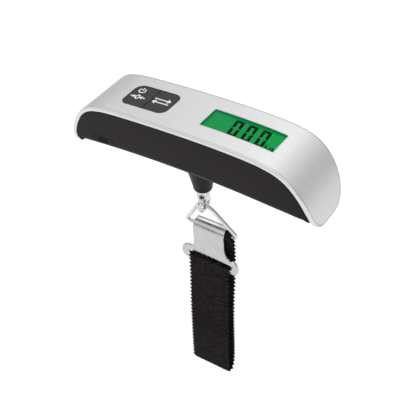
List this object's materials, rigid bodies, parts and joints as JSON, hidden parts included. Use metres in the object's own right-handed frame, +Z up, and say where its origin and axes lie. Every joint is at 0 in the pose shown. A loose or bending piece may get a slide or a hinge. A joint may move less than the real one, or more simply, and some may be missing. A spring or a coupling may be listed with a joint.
{
  "type": "digital luggage scale",
  "caption": "Arched hand-held scale with keys and a lit display; a strap with a hook plate hangs from a swivel under it to hold a bag's handle.",
  "frame": {"origin": "on the hook axis, at the underside of the housing", "axes": "+X along the housing from the keys to the display, -Y is the front side, +Z up through the display face; the strap hangs down -Z"},
  "size_m": [0.1384, 0.0344, 0.1812],
  "materials": {
    "brushed_sheet": "fine lengthwise brushed aluminium look",
    "silver_paint": "satin silver paint on ABS",
    "black_abs": "satin black ABS",
    "key_abs": "matt dark grey keys",
    "clear_lens": "clear acrylic window",
    "lcd_cell": "green backlit liquid crystal cell",
    "light_guide": "milky light guide",
    "zebra": "layered conductive rubber",
    "board": "green printed circuit board",
    "epoxy": "black epoxy drop over the chip",
    "switch_steel": "nickel plated",
    "screw_steel": "zinc plated",
    "alloy": "milled aluminium alloy",
    "gauge_film": "amber polyimide film",
    "cell_steel": "stainless coin cell",
    "spring_brass": "nickel washed spring brass",
    "bright_steel": "bright nickel plated steel",
    "plate_steel": "bright pressed steel",
    "webbing": "coarse black polypropylene webbing"
  },
  "bodies": {
    "housing": {"face_plate": "brushed_sheet", "upper_frame": "silver_paint", "body_shell": "black_abs", "battery_tray": "black_abs", "lcd_holder": "black_abs", "lcd_window": "clear_lens", "lcd_glass": "lcd_cell", "lcd_backlight": "light_guide", "zebra_strip_front": "zebra", "zebra_strip_back": "zebra", "main_board": "board", "chip_blob": "epoxy", "tact_switch_1": "switch_steel", "tact_switch_2": "switch_steel", "load_cell_beam": "alloy", "strain_gauge_top": "gauge_film", "strain_gauge_bottom": "gauge_film", "gauge_flex": "gauge_film", "coin_cell": "cell_steel", "battery_clip_top": "spring_brass", "battery_clip_side": "spring_brass", "beam_screw_1": "screw_steel", "beam_screw_2": "screw_steel", "board_screw_1": "screw_steel", "board_screw_2": "screw_steel", "housing_screw_1": "screw_steel", "housing_screw_2": "screw_steel", "housing_screw_3": "screw_steel", "housing_screw_4": "screw_steel"},
    "key_power": {"key_power": "key_abs"},
    "key_unit": {"key_unit": "key_abs"},
    "battery_door": {"battery_door": "black_abs"},
    "swivel": {"hook_stud": "bright_steel", "collar": "black_abs", "stud_nut": "screw_steel", "thrust_washer": "screw_steel"},
    "link_ring": {"link_ring": "bright_steel"},
    "triangle_ring": {"triangle_ring": "bright_steel"},
    "strap": {"strap_rear": "webbing"},
    "hook": {"hook_plate": "plate_steel", "strap_front": "webbing"}
  },
  "joints": [
    {"name": "key_power_press", "type": "slide", "parent": "housing", "child": "key_power", "axis": [0, 0, -1], "range_m": [0, 0.0005], "stiffness_N_per_m": 1500},
    {"name": "key_unit_press", "type": "slide", "parent": "housing", "child": "key_unit", "axis": [0, 0, -1], "range_m": [0, 0.0005], "stiffness_N_per_m": 1500},
    {"name": "battery_door_open", "type": "hinge", "parent": "housing", "child": "battery_door", "pos_m": [-0.039, 0.013, -0.00226], "axis": [1, 0, 0], "range_deg": [0, 75]},
    {"name": "swivel_turn", "type": "hinge", "parent": "housing", "child": "swivel", "pos_m": [0, 0, 0], "axis": [0, 0, 1], "continuous": true},
    {"name": "ring_sway", "type": "hinge", "parent": "swivel", "child": "link_ring", "pos_m": [0, 0, -0.0267], "axis": [0, 1, 0], "range_deg": [-25, 25]},
    {"name": "triangle_swing", "type": "hinge", "parent": "link_ring", "child": "triangle_ring", "pos_m": [0, 0, -0.033], "axis": [1, 0, 0], "range_deg": [-50, 30]},
    {"name": "strap_swing", "type": "hinge", "parent": "triangle_ring", "child": "strap", "pos_m": [0, 0.0055, -0.05375], "axis": [1, 0, 0], "range_deg": [-30, 30]},
    {"name": "hook_lift", "type": "slide", "parent": "strap", "child": "hook", "axis": [0, 0, 1], "range_m": [0, 0.0034]}
  ]
}
